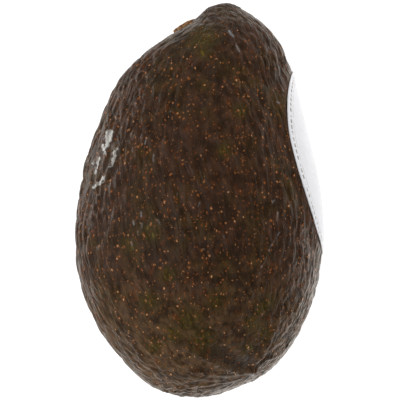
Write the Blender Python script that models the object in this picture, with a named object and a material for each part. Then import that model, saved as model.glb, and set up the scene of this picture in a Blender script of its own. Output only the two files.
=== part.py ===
"""An avocado of the dark, pebbled kind, lying on its side, with the dry stub of its stem and a blank sticker.

Metres, +Z up. +Y runs along the fruit to its stem end, and z = 0 is the surface that it lies on.
A place on the skin is given by its station, the angle from the middle (0) to the stem end (90 degrees)
or to the blossom end (-90 degrees), and by its turn, the angle round the fruit from +X over +Z.
"""

import math

import bmesh
import bpy
import numpy as np
from mathutils import Matrix, Vector, noise

# Driving dimensions of the fruit. A reach is how far a side stands out from the axis, over the cosine
# of the station.
LENGTH = 0.1
FLAT_SPOT_DEPTH = 0.0007
AXIS_SIDEWAYS = 0.0029
AXIS_SLANT = 0.0042
AXIS_DROOP = 0.0022
LEFT_REACH = (
    (-90, 0.0330), (-62, 0.0325), (-40, 0.0344), (-12, 0.0346), (10, 0.0337), (35, 0.0328), (44, 0.0323),
    (50.7, 0.0305), (54.5, 0.0281), (59, 0.0246), (64, 0.0209), (69.5, 0.0204), (77.7, 0.0236), (90, 0.0260),
)
RIGHT_REACH = (
    (-90, 0.0305), (-75, 0.0315), (-58, 0.0350), (-40, 0.0329), (-20, 0.0304), (0, 0.0273),
    (20, 0.0237), (35, 0.0225), (52, 0.0228), (64, 0.0206), (78, 0.0150), (90, 0.0130),
)
TOP_REACH = (
    (-90, 0.0310), (-62, 0.0325), (-35, 0.0323), (-10, 0.0308), (15, 0.0286),
    (35, 0.0268), (50, 0.0256), (62, 0.0230), (75, 0.0185), (90, 0.0160),
)
BOTTOM_REACH = (
    (-90, 0.0300), (-62, 0.0315), (-35, 0.0310), (-10, 0.0296), (15, 0.0276),
    (35, 0.0260), (50, 0.0246), (62, 0.0220), (75, 0.0180), (90, 0.0160),
)

# Relief of the skin: long pebbles, the broader swells that they lie on, and folds by the blossom end.
# The reaches are measured on the pebbles' crowns.
PEBBLE_SPACING = 0.0054
PEBBLE_STRETCH = 1.6
PEBBLE_HEIGHT = 0.0011
PEBBLE_SHOULDER = 0.55
SWELL_SPACING = 0.011
SWELL_HEIGHT = 0.0009
BEND_SPACING = 0.013
BEND_SHIFT = 0.0013
SMOOTH_BELOW = 0.0002
ROUGH_ABOVE = 0.0022

# Folds: height, half width, and the points (x, y) that the fold runs through, seen from above.
FOLDS = (
    (0.0009, 0.0016, (
        (0.0002, -0.0379), (0.0027, -0.0405), (0.0065, -0.0427), (0.0105, -0.0440), (0.0143, -0.0432),
    )),
    (0.0009, 0.0015, (
        (0.0143, -0.0432), (0.0179, -0.0405), (0.0211, -0.0375), (0.0230, -0.0341), (0.0255, -0.0311),
        (0.0257, -0.0290),
    )),
    (0.0008, 0.0015, ((0.0139, -0.0415), (0.0152, -0.0385), (0.0173, -0.0350), (0.0175, -0.0336))),
    (0.0007, 0.0015, ((-0.0009, -0.0478), (0.0043, -0.0468), (0.0076, -0.0455), (0.0105, -0.0442))),
    (-0.0014, 0.0024, ((0.0066, -0.0395), (0.0100, -0.0402), (0.0125, -0.0392))),
    (-0.0011, 0.0014, ((0.0163, -0.0397), (0.0186, -0.0375), (0.0200, -0.0352))),
)

# The stem button, a dry stub that sits in a round socket in a shallow hollow. Angles are in degrees.
STEM_STATION = 61.7
STEM_TURN = 192
BUTTON_RADIUS = 0.0033
BUTTON_HEIGHT = 0.0021
BUTTON_ROUNDING = 0.0006
BUTTON_WAVE = 0.00012
SOCKET_DEPTH = 0.0009
HOLLOW_DEPTH = 0.0007
HOLLOW_RADIUS = 0.0065
GAP = 0.0003

# The sticker, an oval wrapped round the side. Its place is the y of its centre.
STICKER_LENGTH = 0.047
STICKER_WIDTH = 0.0385
STICKER_THICKNESS = 0.0005
STICKER_LIFT = 0.00045
STICKER_PLACE = 0.0089
STICKER_TURN = -3.4
STICKER_TILT = 2
STICKER_MARGIN = 0.003

# How finely the meshes are divided
FRUIT_CELLS = 30
BUTTON_SIDES = 32
STICKER_RINGS = 6
STICKER_SIDES = 44

SMALL_ANGLE = 0.001


def smooth_curve(stations):
    """A function of the station in radians that runs smoothly through (degrees, value) points."""
    degrees, values = np.array(stations, float).T
    angles = np.radians(degrees)
    slopes = np.gradient(values, angles)

    def curve(station):
        first = np.clip(np.searchsorted(angles, station) - 1, 0, len(angles) - 2)
        span = angles[first + 1] - angles[first]
        share = (station - angles[first]) / span
        rest = 1 - share
        return (
            values[first] * rest**2 * (1 + 2 * share)
            + values[first + 1] * share**2 * (1 + 2 * rest)
            + slopes[first] * span * share * rest**2
            - slopes[first + 1] * span * share**2 * rest
        )

    return curve


left_reach = smooth_curve(LEFT_REACH)
right_reach = smooth_curve(RIGHT_REACH)
top_reach = smooth_curve(TOP_REACH)
bottom_reach = smooth_curve(BOTTOM_REACH)


def middle_height():
    """The height of the fruit's axis at its middle, which presses the flat spot in to its depth."""
    station = np.linspace(-math.pi / 2, math.pi / 2, 721)
    lowest = np.min(-AXIS_DROOP * np.sin(station) - np.cos(station) * bottom_reach(station))
    return -lowest - FLAT_SPOT_DEPTH


MIDDLE_HEIGHT = middle_height()


def section(station):
    """Centre x, half width, centre z and half height of the fruit's oval section at a station."""
    across, along = np.cos(station), np.sin(station)
    left, right = across * left_reach(station), across * right_reach(station)
    top, bottom = across * top_reach(station), across * bottom_reach(station)
    centre_x = AXIS_SIDEWAYS + AXIS_SLANT * along + (right - left) / 2
    centre_z = MIDDLE_HEIGHT - AXIS_DROOP * along + (top - bottom) / 2
    return centre_x, (left + right) / 2, centre_z, (top + bottom) / 2


def skin(station, turn):
    """The point of the smooth skin at a station and a turn, in radians."""
    centre_x, half_width, centre_z, half_height = section(station)
    return Vector((
        centre_x + half_width * math.cos(turn),
        LENGTH / 2 * math.sin(station),
        centre_z + half_height * math.sin(turn),
    ))


def skin_frame(station, turn):
    """A matrix that stands on the smooth skin: X round the fruit, Y towards the stem end, Z outwards."""
    place = skin(station, turn)
    around = skin(station, turn + SMALL_ANGLE) - skin(station, turn - SMALL_ANGLE)
    forward = skin(station + SMALL_ANGLE, turn) - skin(station - SMALL_ANGLE, turn)
    outward = forward.cross(around).normalized()
    forward.normalize()
    side = forward.cross(outward)
    return Matrix.Translation(place) @ Matrix((side, forward, outward)).transposed().to_4x4()


def on_top(x, y):
    """The point of the smooth skin seen at (x, y) from above."""
    station = math.asin(y / (LENGTH / 2))
    centre_x, half_width, _, _ = section(station)
    return skin(station, math.acos((x - centre_x) / half_width))


def step(low, high, value):
    """0 below low, 1 above high and smooth between them."""
    share = min(max((value - low) / (high - low), 0), 1)
    return share * share * (3 - 2 * share)


def bell(distance, half_width):
    return math.exp(-((distance / half_width) ** 2))


def pebbles(point):
    """From -1 in the valleys between the pebbles to 0 on their crowns."""
    place = point + BEND_SHIFT * noise.noise_vector(point / BEND_SPACING)
    place.y /= PEBBLE_STRETCH
    nearest, second = noise.voronoi(place / PEBBLE_SPACING)[0][:2]
    flank = 1 - min((second - nearest) / PEBBLE_SHOULDER, 1)
    return -flank * flank


def distance_to_path(point, path):
    """How far a point is from a path of straight runs."""
    nearest = math.inf
    for start, end in zip(path, path[1:]):
        run = end - start
        share = min(max((point - start).dot(run) / run.length_squared, 0), 1)
        nearest = min(nearest, (start + share * run - point).length)
    return nearest


FOLD_PATHS = [(height, width, [on_top(x, y) for x, y in points]) for height, width, points in FOLDS]
STEM_FRAME = skin_frame(math.radians(STEM_STATION), math.radians(STEM_TURN))


def sticker_share(station, turn):
    """How far out in the sticker's oval a place on the skin is: 0 at its centre and 1 at its edge."""
    _, half_width, _, half_height = section(station)
    forward = LENGTH / 2 * math.sin(station) - STICKER_PLACE
    around = math.remainder(turn - math.radians(STICKER_TURN), math.tau) * (half_width + half_height) / 2
    tilt = math.radians(STICKER_TILT)
    along = forward * math.cos(tilt) + around * math.sin(tilt)
    across = around * math.cos(tilt) - forward * math.sin(tilt)
    return math.hypot(along / (STICKER_LENGTH / 2), across / (STICKER_WIDTH / 2))


def relief(point, station, turn):
    """How far the skin stands out from its smooth form at a point."""
    edge = 1 + 2 * STICKER_MARGIN / STICKER_WIDTH
    rough = step(SMOOTH_BELOW, ROUGH_ABOVE, point.z) * step(1, edge, sticker_share(station, turn))
    from_stem = (point - STEM_FRAME.translation).length
    rough *= 1 - bell(from_stem, HOLLOW_RADIUS)
    height = PEBBLE_HEIGHT * pebbles(point) + SWELL_HEIGHT * noise.noise(point / SWELL_SPACING)
    for fold_height, half_width, path in FOLD_PATHS:
        height += fold_height * bell(distance_to_path(point, path), half_width)
    return rough * height - HOLLOW_DEPTH * bell(from_stem, HOLLOW_RADIUS)


def make_material(name, color, roughness):
    material = bpy.data.materials.new(name)
    material.use_nodes = True
    shader = material.node_tree.nodes["Principled BSDF"]
    shader.inputs["Base Color"].default_value = (*color, 1)
    shader.inputs["Roughness"].default_value = roughness
    shader.inputs["Metallic"].default_value = 0
    return material


def add_object(name, shape, material):
    """Turns a bmesh into a smooth shaded object of the scene."""
    mesh = bpy.data.meshes.new(name)
    shape.to_mesh(mesh)
    shape.free()
    mesh.shade_smooth()
    mesh.materials.append(material)
    item = bpy.data.objects.new(name, mesh)
    bpy.context.scene.collection.objects.link(item)
    return item


def cube_sphere(cells):
    """A cube with a grid of cells on each side, blown up to a sphere of radius 1."""
    sphere = bmesh.new()
    bmesh.ops.create_cube(sphere, size=2)
    bmesh.ops.subdivide_edges(sphere, edges=sphere.edges[:], cuts=cells - 1, use_grid_fill=True)
    for vertex in sphere.verts:
        vertex.co = Vector([math.tan(part * math.pi / 4) for part in vertex.co]).normalized()
    return sphere


def make_fruit():
    """The whole fruit: the smooth form, its relief, and the flat spot that it lies on."""
    shape = cube_sphere(FRUIT_CELLS)
    places = []
    for vertex in shape.verts:
        station = math.asin(min(max(vertex.co.y, -1), 1))
        turn = math.atan2(vertex.co.z, vertex.co.x)
        vertex.co = skin(station, turn)
        places.append((station, turn))
    shape.normal_update()
    moved = [
        vertex.co + vertex.normal * relief(vertex.co, station, turn)
        for vertex, (station, turn) in zip(shape.verts, places)
    ]
    for vertex, place in zip(shape.verts, moved):
        vertex.co = place
        vertex.co.z = max(vertex.co.z, 0)
    return add_object("fruit", shape, make_material("dark_skin", (0.041, 0.024, 0.016), 0.45))


def cut_socket(fruit):
    """Cuts the round socket that holds the stem button."""
    floor = HOLLOW_DEPTH + SOCKET_DEPTH
    length = 2 * (floor + BUTTON_HEIGHT)
    shape = bmesh.new()
    bmesh.ops.create_cone(
        shape, cap_ends=True, segments=BUTTON_SIDES, radius1=BUTTON_RADIUS + GAP, radius2=BUTTON_RADIUS + GAP,
        depth=length, matrix=STEM_FRAME @ Matrix.Translation((0, 0, length / 2 - floor)),
    )
    cutter = add_object("socket_cutter", shape, fruit.data.materials[0])
    cutter.hide_render = True
    cutter.display_type = "WIRE"
    socket = fruit.modifiers.new("socket", "BOOLEAN")
    socket.object = cutter


def make_stem_button():
    """The dry stub of the stem: a low turned disc with a rounded, slightly uneven rim."""
    base = GAP - HOLLOW_DEPTH - SOCKET_DEPTH
    top = base + BUTTON_HEIGHT
    inner = BUTTON_RADIUS - BUTTON_ROUNDING
    outline = [(0, base), (BUTTON_RADIUS, base), (BUTTON_RADIUS, top - BUTTON_ROUNDING)]
    for angle in (30, 60, 90):
        outline.append((
            inner + BUTTON_ROUNDING * math.cos(math.radians(angle)),
            top - BUTTON_ROUNDING + BUTTON_ROUNDING * math.sin(math.radians(angle)),
        ))
    outline.append((inner * 0.6, top - 2 * BUTTON_WAVE))
    outline.append((0, top - 3 * BUTTON_WAVE))
    shape = bmesh.new()
    points = [shape.verts.new((radius, 0, height)) for radius, height in outline]
    edges = [shape.edges.new(pair) for pair in zip(points, points[1:])]
    bmesh.ops.spin(
        shape, geom=points + edges, cent=(0, 0, 0), axis=(0, 0, 1), angle=math.tau, steps=BUTTON_SIDES,
        use_merge=True,
    )
    bmesh.ops.remove_doubles(shape, verts=shape.verts[:], dist=0.00001)
    for vertex in shape.verts:
        around = math.atan2(vertex.co.y, vertex.co.x)
        share = math.hypot(vertex.co.x, vertex.co.y) / BUTTON_RADIUS
        wave = 1 - BUTTON_WAVE / BUTTON_RADIUS * (1 + math.sin(3 * around) * math.cos(5 * around + 1))
        vertex.co.x *= wave
        vertex.co.y *= wave
        if vertex.co.z > 0:
            vertex.co.z += BUTTON_WAVE * share * math.sin(4 * around)
    shape.transform(STEM_FRAME)
    bmesh.ops.recalc_face_normals(shape, faces=shape.faces[:])
    return add_object("stem_button", shape, make_material("dry_stem", (0.376, 0.188, 0.061), 0.85))


def sticker_place(along, across):
    """The frame on the smooth skin at a place on the sticker, measured from its centre."""
    tilt = math.radians(STICKER_TILT)
    forward = along * math.cos(tilt) - across * math.sin(tilt)
    around = along * math.sin(tilt) + across * math.cos(tilt)
    station = math.asin((STICKER_PLACE + forward) / (LENGTH / 2))
    _, half_width, _, half_height = section(station)
    return skin_frame(station, math.radians(STICKER_TURN) + 2 * around / (half_width + half_height))


def make_sticker():
    """The sticker: an oval sheet that follows the smooth skin, with an inner and an outer face."""
    shape = bmesh.new()
    faces = []
    for height in (STICKER_LIFT, STICKER_LIFT + STICKER_THICKNESS):
        rings = [[shape.verts.new(sticker_place(0, 0) @ Vector((0, 0, height)))]]
        for ring in range(1, STICKER_RINGS + 1):
            share = ring / STICKER_RINGS / 2
            rings.append([])
            for side in range(STICKER_SIDES):
                angle = math.tau * side / STICKER_SIDES
                place = sticker_place(
                    STICKER_LENGTH * share * math.cos(angle), STICKER_WIDTH * share * math.sin(angle)
                )
                rings[-1].append(shape.verts.new(place @ Vector((0, 0, height))))
        faces.append(rings)
    for rings in faces:
        for side in range(STICKER_SIDES):
            after = (side + 1) % STICKER_SIDES
            shape.faces.new((rings[0][0], rings[1][side], rings[1][after]))
            for inner, outer in zip(rings[1:], rings[2:]):
                shape.faces.new((inner[side], outer[side], outer[after], inner[after]))
    for side in range(STICKER_SIDES):
        after = (side + 1) % STICKER_SIDES
        lower, upper = faces[0][-1], faces[1][-1]
        shape.faces.new((lower[side], lower[after], upper[after], upper[side]))
    bmesh.ops.recalc_face_normals(shape, faces=shape.faces[:])
    return add_object("sticker", shape, make_material("white_paper", (0.81, 0.81, 0.86), 0.5))


def main():
    for item in list(bpy.data.objects):
        bpy.data.objects.remove(item)
    cut_socket(make_fruit())
    make_stem_button()
    make_sticker()


if __name__ == "__main__":
    main()
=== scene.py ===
import math

import bpy
import numpy as np
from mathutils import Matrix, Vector, noise


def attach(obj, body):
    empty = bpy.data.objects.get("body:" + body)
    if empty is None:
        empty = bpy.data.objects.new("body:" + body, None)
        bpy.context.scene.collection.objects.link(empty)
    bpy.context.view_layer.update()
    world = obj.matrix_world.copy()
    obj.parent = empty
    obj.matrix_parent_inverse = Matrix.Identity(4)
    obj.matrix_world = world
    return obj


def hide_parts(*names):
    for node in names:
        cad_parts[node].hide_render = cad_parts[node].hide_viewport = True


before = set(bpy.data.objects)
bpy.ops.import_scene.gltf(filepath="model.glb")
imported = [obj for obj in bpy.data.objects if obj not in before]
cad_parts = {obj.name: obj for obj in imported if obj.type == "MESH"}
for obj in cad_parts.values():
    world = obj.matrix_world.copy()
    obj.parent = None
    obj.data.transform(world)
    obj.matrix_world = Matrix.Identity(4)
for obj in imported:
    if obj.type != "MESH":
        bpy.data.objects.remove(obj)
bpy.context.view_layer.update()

# The looks of an avocado that lies on its side, in metres. +Y runs along the fruit to its stem end.
# A place on the skin is given by its station, the angle from the middle (0) to the stem end (90 degrees)
# or to the blossom end (-90 degrees), and by its turn, the angle round the fruit from +X over +Z.
MM = 0.001

# Form of the fruit, the same as in the frame. A reach is how far a side stands out from the axis, over
# the cosine of the station.
LENGTH = 0.1
FLAT_SPOT_DEPTH = 0.0007
AXIS_SIDEWAYS = 0.0029
AXIS_SLANT = 0.0042
AXIS_DROOP = 0.0022
LEFT_REACH = (
    (-90, 0.0330), (-62, 0.0325), (-40, 0.0344), (-12, 0.0346), (10, 0.0337), (35, 0.0328), (44, 0.0323),
    (50.7, 0.0305), (54.5, 0.0281), (59, 0.0246), (64, 0.0209), (69.5, 0.0204), (77.7, 0.0236), (90, 0.0260),
)
RIGHT_REACH = (
    (-90, 0.0305), (-75, 0.0315), (-58, 0.0350), (-40, 0.0329), (-20, 0.0304), (0, 0.0273),
    (20, 0.0237), (35, 0.0225), (52, 0.0228), (64, 0.0206), (78, 0.0150), (90, 0.0130),
)
TOP_REACH = (
    (-90, 0.0310), (-62, 0.0325), (-35, 0.0323), (-10, 0.0308), (15, 0.0286),
    (35, 0.0268), (50, 0.0256), (62, 0.0230), (75, 0.0185), (90, 0.0160),
)
BOTTOM_REACH = (
    (-90, 0.0300), (-62, 0.0315), (-35, 0.0310), (-10, 0.0296), (15, 0.0276),
    (35, 0.0260), (50, 0.0246), (62, 0.0220), (75, 0.0180), (90, 0.0160),
)

# The grain of the skin runs from the stem button to the scar at the blossom end. Angles are in degrees.
# Unrolled, the skin is a tube with GRAIN_LENGTH to each radian along it and a radius of about GRAIN_RADIUS
# at its middle, and GRAIN_END keeps its ends from closing to a point.
STEM_STATION = 61.7
STEM_TURN = 192
SCAR_PLACE = (0.0127, -0.0438)
GRAIN_LENGTH = 40.6 * MM
GRAIN_RADIUS = 30 * MM
GRAIN_END = 0.06

# How finely the meshes are divided
CELLS_ROUND = 112
CELLS_ALONG = 164

# Relief of the skin: heights, and the sizes of its cells and waves across the grain. A flank is how much
# farther the next cell's centre is, in spacings, where a cell's sloping side ends. GRIT_APART, in metres,
# keeps the grit from following the pebbles.
PEBBLE_SPACING = 2.3 * MM
PEBBLE_STRETCH = 3.2
PEBBLE_HEIGHT = 0.65 * MM
PEBBLE_FLANK = 0.8
GRIT_SPACING = 1.2 * MM
GRIT_STRETCH = 2
GRIT_HEIGHT = 0.05 * MM
GRIT_FLANK = 0.6
GRIT_APART = 1
SWELL_SPACING = 7 * MM
SWELL_STRETCH = 1.6
SWELL_HEIGHT = 0.3 * MM
CROWN_HEIGHT = 0.25 * MM
BEND_SPACING = 5 * MM
BEND_SHIFT = 0.9 * MM

# How far the pebbles stand out on the mean, how much that varies and over what distance, and how much
# flatter they are under the glossy patches, whose colour is also painted pale as a highlight
MEAN_STRENGTH = 0.75
STRENGTH_CHANGE = 0.7
STRENGTH_SPACING = 12 * MM
GLOSSY_PATCH_CALM = 0.4

# Where the pebbles are flatter: station and turn in degrees, radius in millimetres and how much flatter,
# which is below 0 where they stand out more
CALM = (
    (85, 0, 15, 0.7),
    (-58, 20, 14, 0.5),
    (-66, 60, 10, 0.5),
    (12, 152, 12, -0.7),
    (1, 164, 10, -0.9),
    (-30, 15, 16, 0.4),
)

# The relief sets in between these heights, so that the spot that the fruit lies on stays flat
SMOOTH_BELOW = 0.1 * MM
ROUGH_ABOVE = 0.8 * MM

# What shows on top of the fruit is placed in millimetres to the right of its middle and towards its stem
# end, as seen from above. Folds have a height, a half width and a path, and a negative height is a valley.
FOLDS = (
    (0.7, 1.0, (
        (-4.3, -36.9), (-1.3, -38.2), (1.3, -39.2), (4.1, -40.7), (6.9, -42.1), (8.9, -42.9),
        (10.9, -43.3), (13.2, -43.1),
    )),
    (0.5, 0.8, ((13.7, -42.5), (14.0, -40.5), (15.5, -37.7), (17.4, -34.4), (18.8, -31.8), (19.6, -29.5))),
    (0.35, 0.6, ((14.2, -42.5), (16.0, -40.3), (18.1, -39.6), (20.1, -38.7), (21.6, -36.9))),
    (0.3, 0.6, ((14.8, -40.2), (16.0, -38.2), (18.3, -36.4), (20.1, -35.6))),
    (0.4, 2.4, ((24.7, -25.4), (22.4, -29.0), (20.1, -32.6), (17.8, -35.9), (15.3, -39.2))),
    (0.25, 0.6, ((12.0, -44.0), (9.2, -45.0), (5.1, -45.9), (1.3, -46.6), (-2.5, -46.9))),
    (0.25, 0.6, ((10.2, -43.5), (5.6, -44.0), (1.8, -43.6), (-2.5, -42.5), (-6.1, -40.7))),
    (0.2, 0.6, ((7.1, -45.0), (3.6, -45.3), (0.0, -44.9))),
    (0.25, 0.7, ((-15.3, -35.1), (-12.5, -38.4), (-10.4, -40.7), (-8.9, -43.3), (-7.4, -45.8))),
    (0.25, 0.7, ((-16.3, -37.1), (-13.5, -41.0), (-11.5, -43.8), (-9.2, -45.8))),
    (-0.6, 2.4, ((4.6, -38.7), (7.6, -40.5), (10.9, -41.6), (12.7, -41.5))),
    (-0.3, 4.5, ((6.1, -37.1), (11.5, -38.2))),
    (-0.35, 0.8, ((15.3, -40.2), (17.0, -38.4), (19.1, -37.4))),
    (-0.2, 1.0, ((0.0, -45.8), (3.8, -46.1), (7.1, -45.0))),
    (-0.4, 0.5, ((20.6, 26.6), (20.9, 26.0))),
)

# Broad swellings of the outline: station and turn in degrees, height and half width in millimetres
BULGES = (
    (85, 0, -0.3, 8),
    (-84, 0, 0.3, 14),
    (-71, 180, 0.5, 6),
    (-64, 0, 0.5, 6),
    (-22, 0, 0.4, 8),
    (-40, 0, 0.45, 14),
    (48, 180, -0.9, 7),
    (21, 180, -0.6, 7),
    (0, 180, -0.4, 9),
)

# Smooth, glossy patches on the left side, also painted pale as a highlight: half width and path
GLOSSY_PAINTED_HIGHLIGHTS = (
    (0.9, ((-22.8, 16.5), (-23.1, 14.9))),
    (0.5, ((-23.1, 14.0), (-23.4, 13.3))),
    (0.35, ((-24.2, 13.3), (-23.9, 12.0), (-23.8, 11.3))),
    (0.35, ((-20.8, 12.5), (-21.3, 11.0))),
    (0.5, ((-21.3, 10.5), (-21.6, 9.7))),
    (0.3, ((-21.9, 9.0), (-22.0, 8.6))),
    (0.3, ((-22.6, 7.9), (-22.8, 6.9))),
    (0.3, ((-25.3, 10.5), (-25.7, 8.7))),
    (0.25, ((-25.8, 7.9), (-26.3, 6.7))),
    (0.2, ((-26.8, 9.7), (-27.0, 8.7))),
    (0.4, ((-24.3, 4.9), (-25.6, 3.6))),
    (0.3, ((-25.6, 3.6), (-26.6, 2.9))),
    (0.25, ((-24.3, 5.9), (-24.2, 5.1))),
)

# Painted highlights, pale grey gleams and streaks, the first of them a thin ring: half width and path
PAINTED_GLEAMS = (
    (0.04, (
        (21.7, 1.0), (21.5, 0.1), (21.0, -0.5), (20.5, -0.5), (20.0, 0.1), (19.8, 1.0),
        (20.0, 2.0), (20.5, 2.6), (21.0, 2.6), (21.5, 2.0), (21.7, 1.0),
    )),
    (0.12, ((20.0, -8.0), (18.3, -10.6), (17.1, -12.6), (16.2, -15.3), (15.1, -17.2), (14.5, -19.3))),
    (0.1, ((20.0, -8.0), (21.7, -8.7), (24.4, -8.9))),
    (0.22, ((19.3, -3.4), (19.2, -4.5), (19.0, -5.4))),
    (0.22, ((18.5, -0.3), (18.1, -0.8), (18.4, -1.6))),
    (0.42, ((7.3, 42.2), (8.4, 40.8))),
    (0.12, ((8.4, 40.8), (9.1, 38.6))),
    (0.28, ((9.2, 38.3), (9.9, 36.9))),
    (0.1, ((20.3, 27.2), (20.8, 27.4), (21.2, 27.1))),
    (0.1, ((21.4, 26.3), (21.5, 25.8))),
    (0.12, ((21.8, 24.8), (22.1, 24.3))),
    (0.3, ((19.2, 24.3), (19.9, 24.1))),
    (0.22, ((-17.0, 22.0), (-16.9, 20.4))),
    (0.1, ((-14.1, 18.2), (-14.4, 16.4), (-15.2, 14.0))),
    (0.2, ((-13.5, 15.5), (-13.6, 13.5))),
    (0.22, ((-11.5, 11.1), (-11.6, 9.3))),
    (0.1, ((-15.5, 8.1), (-15.6, 7.4))),
    (0.1, ((-12.5, 7.5), (-12.6, 6.6))),
    (0.3, ((-14.6, -3.3), (-14.5, -4.3))),
    (0.25, ((-14.4, -6.0), (-14.4, -7.4))),
    (0.22, ((-16.5, -5.2), (-16.4, -6.6))),
    (0.2, ((-15.5, -8.1), (-15.2, -9.0))),
    (0.2, ((-16.8, -9.9), (-16.8, -11.5))),
    (0.3, ((-10.7, -4.8), (-9.8, -6.4))),
    (0.15, ((-5.6, 1.5), (-5.6, 0.5))),
    (0.2, ((-0.1, -1.0), (-0.4, -2.0))),
    (0.25, ((0.8, -12.3), (1.3, -12.6))),
    (0.15, ((5.6, -8.9), (6.1, -9.8))),
    (0.2, ((-7.3, 21.9), (-7.7, 21.4))),
    (0.15, ((-5.6, -23.9), (-5.8, -25.2))),
)

# The dusky scar skin of the hollow at the blossom end, darkened further as the hollow's painted shade
SCAR_AND_HOLLOW_SHADE = (
    (1.6, ((4.0, -38.4), (7.8, -40.4), (12.6, -41.3))),
    (0.8, ((-1.0, -36.4), (4.0, -38.4))),
    (0.6, ((12.8, -39.4), (15.0, -35.5), (16.8, -32.6))),
)

# Yellow-green flecks of skin that kept its colour: places and radii
OLIVE_SPOTS = (
    (0.5, -34.9, 3.4), (13.0, -30.8, 2.0), (15.3, -27.2, 1.9), (12.2, -37.1, 1.6), (-6.6, -33.6, 2.2),
    (-11.5, -36.6, 2.0), (17.6, -25.2, 1.6), (-17.6, -11.5, 2.0), (-8.0, -18.6, 2.0), (-2.5, -30.0, 3.0),
    (-12.2, -8.1, 2.4), (9.9, 21.9, 1.8), (6.1, 12.0, 1.8), (1.0, 40.3, 3.2), (1.3, 36.6, 1.8),
    (-12.7, -25.4, 2.4), (15.8, -33.1, 2.2), (3.8, -25.4, 2.0),
)

# The stem button in its socket, with the heights and spacings of its lumps of cork, and the sticker, whose
# first ring of points lies at the share INNERMOST of the way to its edge
BUTTON_RADIUS = 3.3 * MM
BUTTON_HEIGHT = 2.1 * MM
BUTTON_ROUNDING = 0.6 * MM
CORK_LUMPS = ((0.22 * MM, 1.1 * MM), (0.1 * MM, 0.4 * MM))
SOCKET_DEPTH = 0.9 * MM
SOCKET_EDGE = 0.8 * MM
HOLLOW_DEPTH = 0.7 * MM
HOLLOW_RADIUS = 6.5 * MM
LIP_RADIUS = 4.6 * MM
LIP_WIDTH = 0.7 * MM
LIP_HEIGHT = 0.3 * MM
STICKER_LENGTH = 46.4 * MM
STICKER_WIDTH = 37.5 * MM
STICKER_PLACE = 9.1 * MM
STICKER_TURN = -3.4
STICKER_TILT = 2
STICKER_MARGIN = 3 * MM
UNDER_STICKER = 0.55 * MM
STICKER_LIFT = 0.65 * MM
STICKER_THICKNESS = 0.15 * MM
STICKER_WAVES = 0.12 * MM
WAVE_SPACING = 6 * MM
INNERMOST = 0.004
DASHES = 78

# The two borders on the sticker: how far inside the edge the middle is, half width, strength of the ink, and
# whether it is dashed
BORDERS = (
    (1.3 * MM, 0.3 * MM, 0.75, True),
    (2.3 * MM, 0.09 * MM, 0.5, False),
)
INK_SOFTNESS = 0.05 * MM

# The lenticels in three sizes: how far apart, largest radius and brightest colour
LENTICELS = (
    (0.8 * MM, 0.24 * MM, (0.36, 0.15, 0.045)),
    (1.15 * MM, 0.36 * MM, (0.80, 0.50, 0.24)),
    (1.65 * MM, 0.45 * MM, (0.90, 0.61, 0.34)),
)

# The camera is straight above, and a pixel of the photograph is this wide at the height of the outline
PHOTO_PIXELS = 400
PIXEL = 0.25445 * MM
CAMERA_DISTANCE = 1.0
CAMERA_Y = -0.3 * MM
SENSOR_WIDTH = 36

# The pale ground and the dome round it
FLOOR_HALF = 8
FLOOR_DROP = 0.05 * MM
DOME_RADIUS = 4.5

# The room that the gloss of the skin reflects: how bright it is at angles from straight up, then its glow and
# its window, each with its azimuth, the angles from it where it begins and is full, and its strength
BRIGHTNESS = (
    (0, 0.16), (30, 0.17), (55, 0.24), (80, 0.32), (112, 0.37), (128, 0.8), (145, 1.3), (180, 1.3),
)
GLOW = (-45, 55, 10, 0.45)
WINDOW = (162, 16, 9, 4.4)

# A small step in radians that finds a direction, how far apart the three reads of the noise are, in waves,
# and what stands for far outside a mark, in millimetres
SMALL_ANGLE = 0.001
NOISE_APART = (0, 17.3, 41.9)
FAR_OUTSIDE = -5.0


def smooth_curve(stations):
    """A function of the station in radians that runs smoothly through (degrees, value) points."""
    degrees, values = np.array(stations, float).T
    angles = np.radians(degrees)
    slopes = np.gradient(values, angles)

    def curve(station):
        first = np.clip(np.searchsorted(angles, station) - 1, 0, len(angles) - 2)
        span = angles[first + 1] - angles[first]
        share = (station - angles[first]) / span
        rest = 1 - share
        return (
            values[first] * rest**2 * (1 + 2 * share)
            + values[first + 1] * share**2 * (1 + 2 * rest)
            + slopes[first] * span * share * rest**2
            - slopes[first + 1] * span * share**2 * rest
        )

    return curve


left_reach = smooth_curve(LEFT_REACH)
right_reach = smooth_curve(RIGHT_REACH)
top_reach = smooth_curve(TOP_REACH)
bottom_reach = smooth_curve(BOTTOM_REACH)


def middle_height():
    """The height of the fruit's axis at its middle, which presses the flat spot in to its depth."""
    station = np.linspace(-math.pi / 2, math.pi / 2, 721)
    lowest = np.min(-AXIS_DROOP * np.sin(station) - np.cos(station) * bottom_reach(station))
    return -lowest - FLAT_SPOT_DEPTH


MIDDLE_HEIGHT = middle_height()


def section(station):
    """Centre x, half width, centre z and half height of the fruit's oval section at a station."""
    across, along = np.cos(station), np.sin(station)
    left, right = across * left_reach(station), across * right_reach(station)
    top, bottom = across * top_reach(station), across * bottom_reach(station)
    centre_x = AXIS_SIDEWAYS + AXIS_SLANT * along + (right - left) / 2
    centre_z = MIDDLE_HEIGHT - AXIS_DROOP * along + (top - bottom) / 2
    return centre_x, (left + right) / 2, centre_z, (top + bottom) / 2


def skin(station, turn):
    """Points of the smooth skin at stations and turns in radians, as rows."""
    centre_x, half_width, centre_z, half_height = section(station)
    return np.stack([
        centre_x + half_width * np.cos(turn),
        LENGTH / 2 * np.sin(station),
        centre_z + half_height * np.sin(turn),
    ], axis=-1)


def direction(station, turn):
    """The point of a unit sphere at a station and a turn."""
    return np.stack([
        np.cos(station) * np.cos(turn), np.sin(station), np.cos(station) * np.sin(turn),
    ], axis=-1)


def seen_from_above(x, y):
    """The station and turn of the place on top of the smooth skin at (x, y)."""
    station = np.arcsin(y / (LENGTH / 2))
    centre_x, half_width, _, _ = section(station)
    return station, np.arccos((x - centre_x) / half_width)


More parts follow.
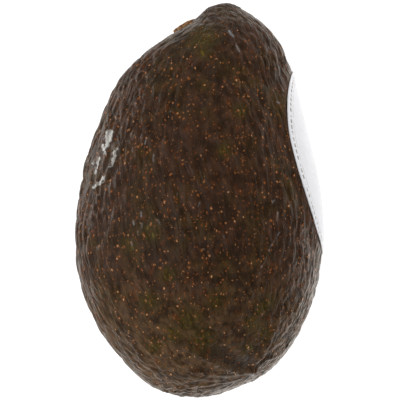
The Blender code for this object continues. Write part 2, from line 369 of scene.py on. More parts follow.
def flat_map(point):
    """Points of the unit sphere laid out on the plane of complex numbers, without changing angles."""
    return (point[..., 0] + 1j * point[..., 1]) / (1 + point[..., 2] + 1e-9)


STEM_SPOT = flat_map(direction(math.radians(STEM_STATION), math.radians(STEM_TURN)))
SCAR_SPOT = flat_map(direction(*seen_from_above(*SCAR_PLACE)))


def grain(station, turn):
    """How far a place is along the grain and round it, in radians: the stem is at 90 degrees and the scar
    at -90."""
    spot = flat_map(direction(station, turn))
    spread = (spot - SCAR_SPOT) / (spot - STEM_SPOT) * abs(STEM_SPOT) / abs(SCAR_SPOT)
    return 2 * np.arctan(np.abs(spread)) - math.pi / 2, np.angle(spread)


def grain_points(station, turn):
    """The skin unrolled along its grain, as points whose second coordinate runs along it."""
    along, around = grain(station, turn)
    radius = GRAIN_RADIUS * np.sqrt(np.cos(along) ** 2 + GRAIN_END)
    return np.stack([radius * np.cos(around), GRAIN_LENGTH * along, radius * np.sin(around)], axis=-1)


def step(low, high, value):
    """0 below low, 1 above high and smooth between them."""
    share = np.clip((value - low) / (high - low), 0, 1)
    return share * share * (3 - 2 * share)


def bell(distance, half_width):
    """1 at no distance, and down to 0 well past the half width."""
    return np.exp(-((distance / half_width) ** 2))


def noise_at(points, spacing):
    """Smooth noise between about -1 and 1."""
    return np.array([noise.noise(Vector(point)) for point in points / spacing])


def bent(points, spacing, shift):
    """The points moved about by smooth noise, so that what is drawn at them bends."""
    moves = [noise_at(points + apart * spacing, spacing) for apart in NOISE_APART]
    return points + shift * np.stack(moves, axis=-1)


def cells(points, spacing, stretch):
    """For cells of a size drawn out along the grain: distance to the cell's centre, and to its edge."""
    found = [noise.voronoi(Vector(point))[0][:2] for point in points / spacing / (1, stretch, 1)]
    nearest, second = np.array(found).T
    return nearest, second - nearest


def box_sphere(around, along):
    """Vertices and quads of a box with a grid on each side, blown up to a sphere of radius 1."""
    counts = (around, along, around)
    index, vertices, quads = {}, [], []

    def vertex(place):
        if place not in index:
            index[place] = len(vertices)
            vertices.append([math.tan((2 * p / n - 1) * math.pi / 4) for p, n in zip(place, counts)])
        return index[place]

    for axis in range(3):
        first, second = (axis + 1) % 3, (axis + 2) % 3
        for side in (0, counts[axis]):
            for i in range(counts[first]):
                for j in range(counts[second]):
                    corners = []
                    for a, b in ((i, j), (i + 1, j), (i + 1, j + 1), (i, j + 1)):
                        place = [0, 0, 0]
                        place[axis], place[first], place[second] = side, a, b
                        corners.append(vertex(tuple(place)))
                    quads.append(corners if side else corners[::-1])
    sphere = np.array(vertices)
    return sphere / np.linalg.norm(sphere, axis=1, keepdims=True), np.array(quads)


def vertex_normals(points, quads):
    """The mean normal of the quads round each vertex."""
    across = points[quads[:, 2]] - points[quads[:, 0]]
    along = points[quads[:, 3]] - points[quads[:, 1]]
    normals = np.zeros_like(points)
    for corner in range(4):
        np.add.at(normals, quads[:, corner], np.cross(across, along))
    return normals / np.linalg.norm(normals, axis=1, keepdims=True)


def ring_quads(rings, sides):
    """Quads between neighbouring rings of vertices, each ring with as many vertices as there are sides."""
    quads = []
    for ring in range(rings - 1):
        low, high = ring * sides, (ring + 1) * sides
        for side in range(sides):
            after = (side + 1) % sides
            quads.append((low + side, high + side, high + after, low + after))
    return quads


def add_mesh(name, points, faces, material):
    """Makes a smooth shaded mesh object."""
    mesh = bpy.data.meshes.new(name)
    mesh.from_pydata(points.tolist(), [], faces)
    mesh.shade_smooth()
    mesh.materials.append(material)
    item = bpy.data.objects.new(name, mesh)
    bpy.context.scene.collection.objects.link(item)
    return item


def add_attribute(item, name, values, kind="FLOAT", domain="POINT"):
    """Stores a number or a vector for each vertex or face corner, for the materials to read."""
    layer = item.data.attributes.new(name, kind, domain)
    field = "value" if kind == "FLOAT" else "vector"
    layer.data.foreach_set(field, np.asarray(values, np.float32).ravel())


def skin_frames(station, turn):
    """Frames on the smooth skin at stations and turns: places, sides, ways to the stem end, and outwards."""
    place = skin(station, turn)
    around = skin(station, turn + SMALL_ANGLE) - skin(station, turn - SMALL_ANGLE)
    forward = skin(station + SMALL_ANGLE, turn) - skin(station - SMALL_ANGLE, turn)
    outward = np.cross(forward, around)
    outward /= np.linalg.norm(outward, axis=-1, keepdims=True)
    forward /= np.linalg.norm(forward, axis=-1, keepdims=True)
    return place, np.cross(forward, outward), forward, outward


STEM_FRAME = skin_frames(math.radians(STEM_STATION), math.radians(STEM_TURN))


def distance_to_path(points, path):
    """How far points are from a path of straight runs."""
    nearest = np.full(len(points), np.inf)
    for start, end in zip(path, path[1:]):
        run = end - start
        share = np.clip((points - start) @ run / (run @ run), 0, 1)
        nearest = np.minimum(nearest, np.linalg.norm(start + share[:, None] * run - points, axis=1))
    return nearest


def sticker_share(station, turn):
    """How far out in the sticker's oval a place on the skin is: 0 at its centre and 1 at its edge."""
    _, half_width, _, half_height = section(station)
    forward = LENGTH / 2 * np.sin(station) - STICKER_PLACE
    from_middle = (turn - math.radians(STICKER_TURN) + math.pi) % math.tau - math.pi
    around = from_middle * (half_width + half_height) / 2
    tilt = math.radians(STICKER_TILT)
    along = forward * math.cos(tilt) + around * math.sin(tilt)
    across = around * math.cos(tilt) - forward * math.sin(tilt)
    return np.hypot(along / (STICKER_LENGTH / 2), across / (STICKER_WIDTH / 2))


def marks(points, paths):
    """How far inside the nearest path's half width places on top are, in millimetres, seen from above."""
    inside = np.full(len(points), FAR_OUTSIDE)
    for half_width, path in paths:
        distance = distance_to_path(points[:, :2], np.array(path) * MM)
        inside = np.maximum(inside, half_width - distance / MM)
    return np.where(points[:, 2] > MIDDLE_HEIGHT, inside, FAR_OUTSIDE)


def distance_to_place(points, station, turn):
    """How far points are from the place on the smooth skin at a station and a turn in degrees."""
    place = skin(math.radians(station), math.radians(turn))
    return np.linalg.norm(points - place, axis=1)


def pebble_strength(smooth):
    """How far the pebbles stand out at points of the smooth skin, as a share of their height."""
    strength = MEAN_STRENGTH + STRENGTH_CHANGE * noise_at(smooth, STRENGTH_SPACING)
    for station, turn, radius, amount in CALM:
        strength *= 1 - amount * bell(distance_to_place(smooth, station, turn), radius * MM)
    strength *= 1 - GLOSSY_PATCH_CALM * step(-0.4, 0.1, marks(smooth, GLOSSY_PAINTED_HIGHLIGHTS))
    return strength


def skin_relief(smooth, grained):
    """How far the pebbles, grit, swells, folds and bulges rise over points of the smooth skin."""
    centre, edge = cells(grained, PEBBLE_SPACING, PEBBLE_STRETCH)
    flank = 1 - np.minimum(edge / PEBBLE_FLANK, 1)
    pebbles = -0.9 * flank**2 - 0.1 * centre**2
    _, edge = cells(grained + GRIT_APART, GRIT_SPACING, GRIT_STRETCH)
    grit = -(1 - np.minimum(edge / GRIT_FLANK, 1)) ** 2
    swells = noise_at(grained / (1, SWELL_STRETCH, 1), SWELL_SPACING)
    height = CROWN_HEIGHT + PEBBLE_HEIGHT * pebble_strength(smooth) * pebbles
    height = height + GRIT_HEIGHT * grit + SWELL_HEIGHT * swells
    for fold_height, half_width, path in FOLDS:
        places = skin(*seen_from_above(*(np.array(path).T * MM)))
        height += fold_height * MM * bell(distance_to_path(smooth, places), half_width * MM)
    for station, turn, bulge_height, half_width in BULGES:
        height += bulge_height * MM * bell(distance_to_place(smooth, station, turn), half_width * MM)
    return height


def fitted(height, station, turn, smooth):
    """The relief, which fades out on the flat spot, under the sticker and at the stem, with the socket."""
    bare = step(1, 1 + 2 * STICKER_MARGIN / STICKER_WIDTH, sticker_share(station, turn))
    from_stem = np.linalg.norm(smooth - STEM_FRAME[0], axis=1)
    rough = step(SMOOTH_BELOW, ROUGH_ABOVE, smooth[:, 2]) * bare * (1 - bell(from_stem, HOLLOW_RADIUS / 2))
    height = rough * height - HOLLOW_DEPTH * bell(from_stem, HOLLOW_RADIUS) + UNDER_STICKER * (1 - bare)
    height += LIP_HEIGHT * bell(from_stem - LIP_RADIUS, LIP_WIDTH)
    height -= SOCKET_DEPTH * (1 - step(BUTTON_RADIUS, BUTTON_RADIUS + SOCKET_EDGE, from_stem))
    return height


def olive_share(points):
    """How near the middle of the nearest olive spot places on top are: 1 there, 0 at its edge, down to -1."""
    nearness = np.full(len(points), -1.0)
    for x, y, radius in OLIVE_SPOTS:
        away = np.hypot(points[:, 0] - x * MM, points[:, 1] - y * MM)
        nearness = np.maximum(nearness, 1 - away / (radius * MM))
    return np.where(points[:, 2] > MIDDLE_HEIGHT, nearness, -1)


def make_fruit(material):
    """The whole fruit, as one closed skin."""
    sphere, quads = box_sphere(CELLS_ROUND, CELLS_ALONG)
    station = np.arcsin(np.clip(sphere[:, 1], -1, 1))
    turn = np.arctan2(sphere[:, 2], sphere[:, 0])
    smooth = skin(station, turn)
    grained = bent(grain_points(station, turn), BEND_SPACING, BEND_SHIFT)
    height = fitted(skin_relief(smooth, grained), station, turn, smooth)
    points = smooth + vertex_normals(smooth, quads) * height[:, None]
    points[:, 2] = np.maximum(points[:, 2], 0)

    fruit = add_mesh("avocado_skin", points, quads.tolist(), material)
    add_attribute(fruit, "scar_and_hollow_shade", marks(points, SCAR_AND_HOLLOW_SHADE))
    add_attribute(fruit, "gloss_and_painted_highlight", marks(points, GLOSSY_PAINTED_HIGHLIGHTS))
    add_attribute(fruit, "painted_gleam", marks(points, PAINTED_GLEAMS))
    add_attribute(fruit, "olive", olive_share(points))
    add_attribute(fruit, "grained", grained, kind="FLOAT_VECTOR")
    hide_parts("fruit")
    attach(fruit, "root")


def button_profile(rings):
    """Radii and heights from the middle of the button's top to the foot of its side."""
    base = -HOLLOW_DEPTH - SOCKET_DEPTH
    top = base + BUTTON_HEIGHT
    inner = BUTTON_RADIUS - BUTTON_ROUNDING
    lengths = (inner, BUTTON_ROUNDING * math.pi / 2, BUTTON_HEIGHT - BUTTON_ROUNDING)
    profile = []
    for run in np.linspace(0, 1, rings) * sum(lengths):
        if run < lengths[0]:
            profile.append((run, top))
        elif run < lengths[0] + lengths[1]:
            angle = (run - lengths[0]) / BUTTON_ROUNDING
            rounded = inner + BUTTON_ROUNDING * math.sin(angle)
            profile.append((rounded, top - BUTTON_ROUNDING * (1 - math.cos(angle))))
        else:
            profile.append((BUTTON_RADIUS, base + sum(lengths) - run))
    return profile


def make_stem_button(material):
    """The dry stub of the stem: a low disc with a rounded, uneven rim."""
    rings, sides = 60, 120
    points = []
    for radius, height in button_profile(rings):
        for side in range(sides):
            angle = math.tau * side / sides
            points.append((radius * math.cos(angle), radius * math.sin(angle), height))
    points = np.array(points)
    lean, rise = 0.6 / BUTTON_RADIUS, 0.8
    outwards = points * (lean, lean, 0) + (0, 0, rise)
    cork = sum(height * noise_at(points, spacing) for height, spacing in CORK_LUMPS)
    points = points + outwards * cork[:, None]
    place, sideways, forward, outward = STEM_FRAME
    points = place + points @ np.array([sideways, forward, outward])
    button = add_mesh("stem_stub", points, ring_quads(rings, sides), material)
    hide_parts("stem_button")
    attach(button, "root")


def sticker_points(share, angle, height):
    """Points on the sticker: share 0 is its centre and 1 its edge, and angle 0 points to the stem end."""
    along = STICKER_LENGTH / 2 * share * np.cos(angle)
    across = STICKER_WIDTH / 2 * share * np.sin(angle)
    tilt = math.radians(STICKER_TILT)
    forward = along * math.cos(tilt) - across * math.sin(tilt)
    around = along * math.sin(tilt) + across * math.cos(tilt)
    station = np.arcsin((STICKER_PLACE + forward) / (LENGTH / 2))
    _, half_width, _, half_height = section(station)
    turn = math.radians(STICKER_TURN) + 2 * around / (half_width + half_height)
    place, _, _, outward = skin_frames(station, turn)
    return place + outward * np.asarray(height)[..., None]


def from_sticker_edge(share, angle):
    """How far inside the sticker's edge the points of a grid of shares and angles are."""
    half_length, half_width = STICKER_LENGTH / 2, STICKER_WIDTH / 2
    reach = half_length * half_width / np.hypot(half_width * np.cos(angle), half_length * np.sin(angle))
    return (1 - share) * reach


def dash_numbers(rings, sides):
    """How many dashes of the border come before each corner of the sticker's faces, round its edge."""
    turn = math.tau * np.arange(sides + 1) / sides
    along, across = STICKER_LENGTH / 2 * np.cos(turn), STICKER_WIDTH / 2 * np.sin(turn)
    runs = np.hypot(np.diff(along), np.diff(across))
    before = np.concatenate([[0], np.cumsum(runs)]) * DASHES / runs.sum()
    first, last = before[:-1], before[1:]
    quads = np.tile(np.stack([first, first, last, last], axis=1).ravel(), rings)
    fan = np.stack([first, first, last], axis=1).ravel()
    return np.concatenate([quads, fan])


def make_sticker(material):
    """The sheet of paper, a little uneven: its face in rings round a centre, and its edge."""
    rings, sides = 60, 240
    angles = math.tau * np.arange(sides) / sides
    share, angle = np.meshgrid(np.linspace(INNERMOST, 1, rings), angles, indexing="ij")
    smooth = sticker_points(share, angle, np.full(share.shape, STICKER_LIFT))
    waves = noise_at(smooth.reshape(-1, 3), WAVE_SPACING).reshape(share.shape)
    lift = STICKER_LIFT + STICKER_WAVES * waves * step(0, 0.3, share)
    outer = sticker_points(share, angle, lift + STICKER_THICKNESS)
    inner = sticker_points(share[-1], angle[-1], lift[-1])
    centre = sticker_points(np.array([0.0]), np.array([0.0]), [STICKER_LIFT + STICKER_THICKNESS])
    points = np.concatenate([outer.reshape(-1, 3), inner, centre])
    faces = ring_quads(rings + 1, sides)
    faces += [(len(points) - 1, side, (side + 1) % sides) for side in range(sides)]
    sticker = add_mesh("paper_sticker", points, faces, material)

    inside = from_sticker_edge(share, angle)
    inside = np.concatenate([inside.ravel(), np.zeros(sides), [STICKER_WIDTH / 2]])
    add_attribute(sticker, "from_edge", inside)
    add_attribute(sticker, "dash", dash_numbers(rings, sides), domain="CORNER")
    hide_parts("sticker")
    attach(sticker, "root")


def add_node(tree, kind, inputs=None, **settings):
    """Adds a shader node. An input has its name or number as key, and is a value or a node's output."""
    made = tree.nodes.new(kind)
    for name, value in settings.items():
        setattr(made, name, value)
    for key, value in (inputs or {}).items():
        if isinstance(value, bpy.types.NodeSocket):
            tree.links.new(value, made.inputs[key])
        else:
            made.inputs[key].default_value = value
    return made


def new_material(name):
    """A material with its node tree and its shader."""
    material = bpy.data.materials.new(name)
    material.use_nodes = True
    return material, material.node_tree, material.node_tree.nodes["Principled BSDF"]


def math_node(tree, operation, *values):
    """The result of an operation on numbers or outputs."""
    return add_node(tree, "ShaderNodeMath", dict(enumerate(values)), operation=operation).outputs[0]


def share_between(tree, value, low, high, smooth=True):
    """0 at low, 1 at high, and between them in between. Low may be the larger one."""
    kind = "SMOOTHSTEP" if smooth else "LINEAR"
    inputs = {0: value, 1: low, 2: high, 3: 0.0, 4: 1.0}
    return add_node(tree, "ShaderNodeMapRange", inputs, interpolation_type=kind, clamp=True).outputs[0]


def mix_colors(tree, share, first, second):
    """The first colour where share is 0, and the second where it is 1."""
    inputs = {0: share}
    for slot, color in ((6, first), (7, second)):
        inputs[slot] = color if isinstance(color, bpy.types.NodeSocket) else (*color, 1)
    return add_node(tree, "ShaderNodeMix", inputs, data_type="RGBA").outputs[2]


def tinted(tree, color, share, strength, tint):
    """The colour turned to a tint, as much as the strength says where share is 1."""
    return mix_colors(tree, math_node(tree, "MULTIPLY", share, strength), color, tint)


def stored(tree, name):
    """The number stored on the mesh under a name."""
    return add_node(tree, "ShaderNodeAttribute", attribute_name=name).outputs["Fac"]


def drawn_along(tree, vector, share):
    """A place whose second coordinate is scaled, which draws a pattern out along it."""
    inputs = {0: vector, 1: (1, share, 1)}
    return add_node(tree, "ShaderNodeVectorMath", inputs, operation="MULTIPLY").outputs[0]


def noise_node(tree, place, spacing, detail=2.0):
    """Noise between 0 and 1, about 0.5, with waves of a size in metres."""
    inputs = {"Vector": place, "Scale": 1 / spacing, "Detail": detail}
    return add_node(tree, "ShaderNodeTexNoise", inputs).outputs[0]


def spots(tree, place, spacing, radius, crowding):
    """Round spots here and there: how far a place is in one, how near its middle, and a number for each."""
    cell = add_node(tree, "ShaderNodeTexVoronoi", {"Vector": place, "Scale": 1 / spacing})
    draw = add_node(tree, "ShaderNodeSeparateColor", {0: cell.outputs["Color"]}).outputs
    size = math_node(tree, "MULTIPLY_ADD", draw[0], 0.65 * radius / spacing, 0.35 * radius / spacing)
    nearness = math_node(tree, "SUBTRACT", 1.0, math_node(tree, "DIVIDE", cell.outputs["Distance"], size))
    there = math_node(tree, "LESS_THAN", draw[1], crowding)
    body = math_node(tree, "MULTIPLY", there, share_between(tree, nearness, 0.0, 0.35))
    core = math_node(tree, "MULTIPLY", there, share_between(tree, nearness, 0.3, 0.9))
    return body, core, draw[2]


def skin_ground(tree, place, drawn_out, grooves, blossom):
    """The dark skin, mottled brown and black, browner towards the blossom end, and with painted shade in the
    grooves of its streaks.
    """
    patches = share_between(tree, noise_node(tree, place, 9 * MM), 0.42, 0.68)
    color = mix_colors(tree, patches, (0.068, 0.031, 0.016), (0.064, 0.036, 0.010))
    color = tinted(tree, color, blossom, 0.9, (0.162, 0.094, 0.044))
    deep = share_between(tree, noise_node(tree, place, 3.5 * MM, 4.0), 0.42, 0.66)
    color = tinted(tree, color, deep, 0.75, (0.023, 0.011, 0.004))
    mottled = share_between(tree, noise_node(tree, drawn_out, 1.3 * MM, 3.0), 0.48, 0.7)
    color = tinted(tree, color, mottled, 0.65, (0.020, 0.010, 0.004))
    dusky = share_between(tree, noise_node(tree, drawn_out, 2.2 * MM, 3.0), 0.52, 0.72)
    color = tinted(tree, color, dusky, 0.4, (0.062, 0.042, 0.034))
    # Painted shade: the grooves of the bumped streaks are darkened
    return tinted(tree, color, grooves, 0.55, (0.024, 0.011, 0.004))


def with_shaded_scar_and_olive(tree, color, place, drawn_out, olive):
    """Adds the dusky scar skin of the hollow, darkened as its painted shade, and the olive spots with their
    yellow-green flecks.
    """
    # Painted shade: the hollow at the blossom end is darkened to a dusky brown
    scar_and_hollow_shade = math_node(tree, "MULTIPLY_ADD", noise_node(tree, place, 2 * MM), 2.0, stored(tree, "scar_and_hollow_shade"))
    color = tinted(tree, color, share_between(tree, scar_and_hollow_shade, -0.6, 1.8), 0.7, (0.038, 0.025, 0.017))
    color = tinted(tree, color, share_between(tree, olive, -0.9, 0.8), 0.7, (0.058, 0.040, 0.006))
    flecks = share_between(tree, noise_node(tree, drawn_out, 0.75 * MM, 1.0), 0.53, 0.72)
    flecks = math_node(tree, "MULTIPLY", flecks, share_between(tree, olive, 0.0, 0.7))
    return mix_colors(tree, flecks, color, (0.145, 0.102, 0.012))


def with_lenticels(tree, color, place, olive, blossom, stem_end):
    """Adds rusty smudges and the three sizes of lenticel, each with a rim and a brighter core."""
    uneven = add_node(tree, "ShaderNodeTexNoise", {"Vector": place, "Scale": 1 / (0.7 * MM), "Detail": 2.0})
    inputs = {0: uneven.outputs["Color"], 1: (0.9 * MM,) * 3, 2: place}
    shifted = add_node(tree, "ShaderNodeVectorMath", inputs, operation="MULTIPLY_ADD").outputs[0]
    shifted = drawn_along(tree, shifted, 0.78)
    smudges, _, _ = spots(tree, shifted, 2.6 * MM, 1.2 * MM, 0.8)
    rusty = share_between(tree, noise_node(tree, place, 1.1 * MM), 0.35, 0.75)
    rusty = math_node(tree, "MULTIPLY", smudges, rusty)
    color = tinted(tree, color, rusty, 0.7, (0.13, 0.036, 0.008))

    crowding = share_between(tree, noise_node(tree, place, 9 * MM), 0.12, 0.5)
    crowding = math_node(tree, "MULTIPLY_ADD", blossom, 0.3, crowding)
    crowding = math_node(tree, "MULTIPLY_ADD", share_between(tree, olive, -0.4, 0.6), 0.45, crowding)
    crowding = math_node(tree, "MULTIPLY_ADD", stem_end, -0.5, crowding)
    for spacing, radius, brightest in LENTICELS:
        body, core, draw = spots(tree, shifted, spacing, radius, crowding)
        rim_color = mix_colors(tree, draw, (0.14, 0.037, 0.007), (0.25, 0.079, 0.018))
        color = mix_colors(tree, body, color, rim_color)
        bright = math_node(tree, "MULTIPLY_ADD", blossom, 0.6, math_node(tree, "POWER", draw, 2.0))
        core_color = mix_colors(tree, bright, (0.37, 0.127, 0.027), brightest)
        color = mix_colors(tree, core, color, core_color)
    return color


def with_painted_highlights_and_gloss(tree, color, place):
    """Adds painted highlights: pale grey gleams, and the glossy patches painted pale with a paler painted
    sheen round them. Also gives how much of the sheen and of the glossy patches there is.
    """
    ragged = math_node(tree, "MULTIPLY_ADD", noise_node(tree, place, 1.1 * MM, 2.0), 1.8, -0.9)
    # Painted highlight: the gleams are painted pale grey into the skin's colour
    painted_gleam = math_node(tree, "MULTIPLY_ADD", ragged, 0.35, stored(tree, "painted_gleam"))
    color = tinted(tree, color, share_between(tree, painted_gleam, -0.1, 0.3), 0.7, (0.27, 0.255, 0.257))
    # Painted highlight: the glossy patches and the sheen round them are painted paler, on top of their real
    # coat and smoother roughness
    gloss_and_painted_highlight = math_node(tree, "ADD", stored(tree, "gloss_and_painted_highlight"), ragged)
    gloss_and_painted_sheen = share_between(tree, gloss_and_painted_highlight, -0.7, 0.2)
    color = tinted(tree, color, gloss_and_painted_sheen, 0.15, (0.15, 0.145, 0.14))
    gloss_and_painted_highlight = share_between(tree, gloss_and_painted_highlight, -0.1, 0.05)
    return tinted(tree, color, gloss_and_painted_highlight, 0.9, (0.27, 0.255, 0.23)), gloss_and_painted_sheen, gloss_and_painted_highlight


def skin_material():
    """The dark, glossy skin, whose patterns are drawn out along its grain."""
    material, tree, shader = new_material("avocado_skin")
    place = add_node(tree, "ShaderNodeTexCoord").outputs["Object"]
    grained = add_node(tree, "ShaderNodeAttribute", attribute_name="grained").outputs["Vector"]
    drawn_out = drawn_along(tree, grained, 0.4)
    streaked = drawn_along(tree, grained, 0.2)
    streaks = noise_node(tree, streaked, 1.5 * MM, 3.0)
    grooves = share_between(tree, streaks, 0.5, 0.36)
    length = add_node(tree, "ShaderNodeSeparateXYZ", {0: place}).outputs["Y"]
    blossom = share_between(tree, length, -10 * MM, -43 * MM)
    stem_end = share_between(tree, length, 20 * MM, 42 * MM)
    olive = stored(tree, "olive")

    color = skin_ground(tree, place, drawn_out, grooves, blossom)
    color = with_shaded_scar_and_olive(tree, color, place, drawn_out, olive)
    color = with_lenticels(tree, color, place, olive, blossom, stem_end)
    color, gloss_and_painted_sheen, gloss_and_painted_highlight = with_painted_highlights_and_gloss(tree, color, place)
    tree.links.new(color, shader.inputs["Base Color"])

    roughness = math_node(tree, "MULTIPLY_ADD", gloss_and_painted_sheen, -0.1, 0.28)
    roughness = math_node(tree, "MULTIPLY_ADD", grooves, 0.3, roughness)
    tree.links.new(roughness, shader.inputs["Roughness"])
    shader.inputs["IOR"].default_value = 1.3
    tree.links.new(gloss_and_painted_highlight, shader.inputs["Coat Weight"])
    shader.inputs["Coat Roughness"].default_value = 0.15
    shader.inputs["Coat IOR"].default_value = 1.75

    fine = noise_node(tree, place, 0.5 * MM, 2.0)
    threads = noise_node(tree, streaked, 0.7 * MM, 2.0)
    relief = math_node(tree, "MULTIPLY_ADD", threads, 0.12, math_node(tree, "MULTIPLY", fine, 0.02))
    relief = math_node(tree, "MULTIPLY_ADD", streaks, 0.8, relief)
    bump = add_node(tree, "ShaderNodeBump", {"Height": relief, "Distance": MM, "Strength": 1.0})
    tree.links.new(bump.outputs[0], shader.inputs["Normal"])
    return material


def cork_material():
    """Pale dry cork with dark pores."""
    material, tree, shader = new_material("stem_cork")
    place = add_node(tree, "ShaderNodeTexCoord").outputs["Object"]
    pores = share_between(tree, noise_node(tree, place, 0.7 * MM, 3.0), 0.45, 0.65)
    color = mix_colors(tree, pores, (0.38, 0.19, 0.075), (0.055, 0.026, 0.012))
    tree.links.new(color, shader.inputs["Base Color"])
    shader.inputs["Roughness"].default_value = 0.85
    return material


def paper_material():
    """White paper with painted grey shade of creases, a plain dashed border and a thin line inside it."""
    material, tree, shader = new_material("sticker_paper")
    place = add_node(tree, "ShaderNodeTexCoord").outputs["Object"]
    fibres = noise_node(tree, place, 0.35 * MM, 3.0)
    color = mix_colors(tree, share_between(tree, fibres, 0.3, 0.7), (0.87, 0.87, 0.91), (0.92, 0.92, 0.95))
    # Painted shade: grey patches stand for the shade in the paper's creases
    painted_crease_shade = share_between(tree, noise_node(tree, place, 4 * MM, 3.0), 0.55, 0.75)
    color = tinted(tree, color, painted_crease_shade, 0.25, (0.72, 0.71, 0.72))
    edge = stored(tree, "from_edge")
    dash = math_node(tree, "SUBTRACT", math_node(tree, "FRACT", stored(tree, "dash")), 0.5)
    dash = share_between(tree, math_node(tree, "ABSOLUTE", dash), 0.37, 0.31)
    worn = share_between(tree, noise_node(tree, place, 1.5 * MM, 3.0), 0.3, 0.6)
    for middle, half_width, strength, broken in BORDERS:
        off = math_node(tree, "ABSOLUTE", math_node(tree, "SUBTRACT", edge, middle))
        ink = share_between(tree, off, half_width + INK_SOFTNESS, half_width - INK_SOFTNESS)
        ink = math_node(tree, "MULTIPLY", ink, dash) if broken else ink
        ink = math_node(tree, "MULTIPLY", ink, math_node(tree, "MULTIPLY", worn, strength))
        color = mix_colors(tree, ink, color, (0.20, 0.18, 0.14))
    rim = share_between(tree, edge, 0.15 * MM, 0.0)
    color = tinted(tree, color, rim, 0.3, (0.55, 0.53, 0.5))
    tree.links.new(color, shader.inputs["Base Color"])
    shader.inputs["Roughness"].default_value = 0.5
    shader.inputs["IOR"].default_value = 1.4
    relief = math_node(tree, "MULTIPLY", fibres, 0.01)
    relief = math_node(tree, "MULTIPLY_ADD", noise_node(tree, place, 3 * MM, 3.0), 0.35, relief)
    bump = add_node(tree, "ShaderNodeBump", {"Height": relief, "Distance": MM, "Strength": 0.6})
    tree.links.new(bump.outputs[0], shader.inputs["Normal"])
    return material


def pale_material(name, grey, strength):
    """A dull surface that shines white by itself."""
    material, _, shader = new_material(name)
    shader.inputs["Base Color"].default_value = (grey, grey, grey, 1)
    shader.inputs["Roughness"].default_value = 0.9
    shader.inputs["Specular IOR Level"].default_value = 0
    shader.inputs["Emission Color"].default_value = (1, 1, 1, 1)
    shader.inputs["Emission Strength"].default_value = strength
    return material


def add_floor():
    """The pale ground, a hair below the fruit."""
    corners = FLOOR_HALF * np.array([(-1, -1, 0), (1, -1, 0), (1, 1, 0), (-1, 1, 0)])
    floor = add_mesh("floor", corners, [(0, 1, 2, 3)], pale_material("floor", 0.3, 0.95))
    floor.location.z = -FLOOR_DROP
    floor.visible_glossy = False


def add_backdrop():
    """A white dome that only the camera sees, so that no edge of the floor shows from low down."""
    rings, sides = 24, 48
    tilts, turns = np.radians(np.linspace(-3, 90, rings)), math.tau * np.arange(sides) / sides
    tilt, turn = np.meshgrid(tilts, turns, indexing="ij")
    across = DOME_RADIUS * np.cos(tilt)
    points = np.stack([across * np.cos(turn), across * np.sin(turn), DOME_RADIUS * np.sin(tilt)], axis=-1)
    quads = [quad[::-1] for quad in ring_quads(rings, sides)]
    dome = add_mesh("backdrop", points.reshape(-1, 3), quads, pale_material("backdrop", 0, 1.05))
    dome.visible_diffuse = False
    dome.visible_glossy = False
    dome.visible_transmission = False
    dome.visible_shadow = False


def near_azimuth(tree, level, azimuth, begins, full):
    """How near a level direction is to an azimuth: 0 where it begins and 1 where it is full, in degrees."""
    aim = (math.cos(math.radians(azimuth)), math.sin(math.radians(azimuth)), 0)
    towards = add_node(tree, "ShaderNodeVectorMath", {0: level, 1: aim}, operation="DOT_PRODUCT")
    limits = math.cos(math.radians(begins)), math.cos(math.radians(full))
    return share_between(tree, towards.outputs["Value"], *limits)


def slanted(tree, part, sideways, forwards):
    """1 straight up or down, and more or less towards the sides."""
    value = math_node(tree, "MULTIPLY_ADD", part["X"], sideways, 1.0)
    return math_node(tree, "MULTIPLY_ADD", part["Y"], forwards, value)


def room_strength(tree, part):
    """How bright the room is in each direction, with its glow low on one side and a window low on another."""
    low, high = slanted(tree, part, 0.4, -0.2), slanted(tree, part, -0.5, 0.3)
    rise = share_between(tree, part["Z"], -0.3, 0.2)
    strength = math_node(tree, "MULTIPLY_ADD", rise, math_node(tree, "SUBTRACT", high, low), low)
    level = add_node(tree, "ShaderNodeCombineXYZ", {0: part["X"], 1: part["Y"]}).outputs[0]
    level = add_node(tree, "ShaderNodeVectorMath", {0: level}, operation="NORMALIZE").outputs[0]
    *glow_place, glow_strength = GLOW
    glow = near_azimuth(tree, level, *glow_place)
    glow = math_node(tree, "MULTIPLY", glow, share_between(tree, part["Z"], -0.05, -0.35))
    strength = math_node(tree, "MULTIPLY_ADD", glow, glow_strength, strength)
    *window_place, window_strength = WINDOW
    window = near_azimuth(tree, level, *window_place)
    window = math_node(tree, "MULTIPLY", window, share_between(tree, part["Z"], -0.08, -0.14))
    window = math_node(tree, "MULTIPLY", window, share_between(tree, part["Z"], -0.66, -0.6))
    return math_node(tree, "MULTIPLY_ADD", window, window_strength, strength)


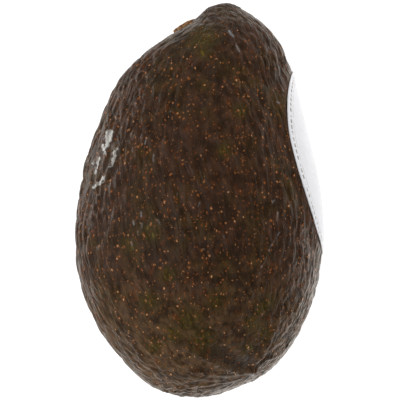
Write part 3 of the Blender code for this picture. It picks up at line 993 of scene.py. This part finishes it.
def add_world():
    """A dim room with a glow and a window, as the gloss of the skin reflects it."""
    world = bpy.data.worlds.new("room")
    bpy.context.scene.world = world
    world.use_nodes = True
    tree = world.node_tree
    place = add_node(tree, "ShaderNodeTexCoord").outputs["Generated"]
    part = add_node(tree, "ShaderNodeSeparateXYZ", {0: place}).outputs
    ramp = add_node(tree, "ShaderNodeValToRGB", {0: math_node(tree, "MULTIPLY_ADD", part["Z"], 0.5, 0.5)})
    stops = ramp.color_ramp.elements
    while len(stops) < len(BRIGHTNESS):
        stops.new(0.5)
    for stop, (angle, value) in zip(stops, reversed(BRIGHTNESS)):
        stop.position = (math.cos(math.radians(angle)) + 1) / 2
        stop.color = (value, 0.975 * value, 0.93 * value, 1)
    background = tree.nodes["Background"]
    tree.links.new(ramp.outputs["Color"], background.inputs["Color"])
    tree.links.new(room_strength(tree, part), background.inputs["Strength"])


def add_light(name, place, target, size, power):
    """A soft rectangular light that faces its target."""
    light = bpy.data.lights.new(name, "AREA")
    light.shape = "RECTANGLE"
    light.size, light.size_y = size
    light.energy = power
    item = bpy.data.objects.new(name, light)
    item.location = place
    item.rotation_euler = (Vector(target) - Vector(place)).to_track_quat("-Z", "Y").to_euler()
    bpy.context.scene.collection.objects.link(item)
    return item


def add_lights():
    """Two softboxes, and two fills that the gloss doesn't reflect."""
    middle = (0, 0, 0.03)
    softbox = (0.3, 0.3)
    add_light("left_softbox", place=(-0.55, 0.05, 0.65), target=middle, size=softbox, power=0.3)
    add_light("right_softbox", place=(0.6, -0.1, 0.6), target=middle, size=softbox, power=0.15)
    stem_side = (0, 0.02, 0.03)
    fills = (
        add_light("top_fill", place=(-0.45, 0, 0.8), target=middle, size=(0.8, 0.8), power=4.2),
        add_light("right_fill", place=(0.48, 0.3, 0.08), target=stem_side, size=(0.4, 0.14), power=1.35),
    )
    for fill in fills:
        fill.visible_glossy = False


def add_camera():
    """Straight above the fruit, with the photograph's width at the height of the fruit's outline."""
    camera = bpy.data.cameras.new("camera")
    camera.sensor_width = SENSOR_WIDTH
    camera.lens = SENSOR_WIDTH * CAMERA_DISTANCE / (PHOTO_PIXELS * PIXEL)
    item = bpy.data.objects.new("camera", camera)
    item.location = (0, CAMERA_Y, MIDDLE_HEIGHT + CAMERA_DISTANCE)
    bpy.context.scene.collection.objects.link(item)
    bpy.context.scene.camera = item


def main():
    """Makes the pieces, the ground, the room, the lights and the camera."""
    bpy.context.scene.view_settings.view_transform = "Standard"
    make_fruit(skin_material())
    make_stem_button(cork_material())
    make_sticker(paper_material())
    add_floor()
    add_backdrop()
    add_world()
    add_lights()
    add_camera()


main()
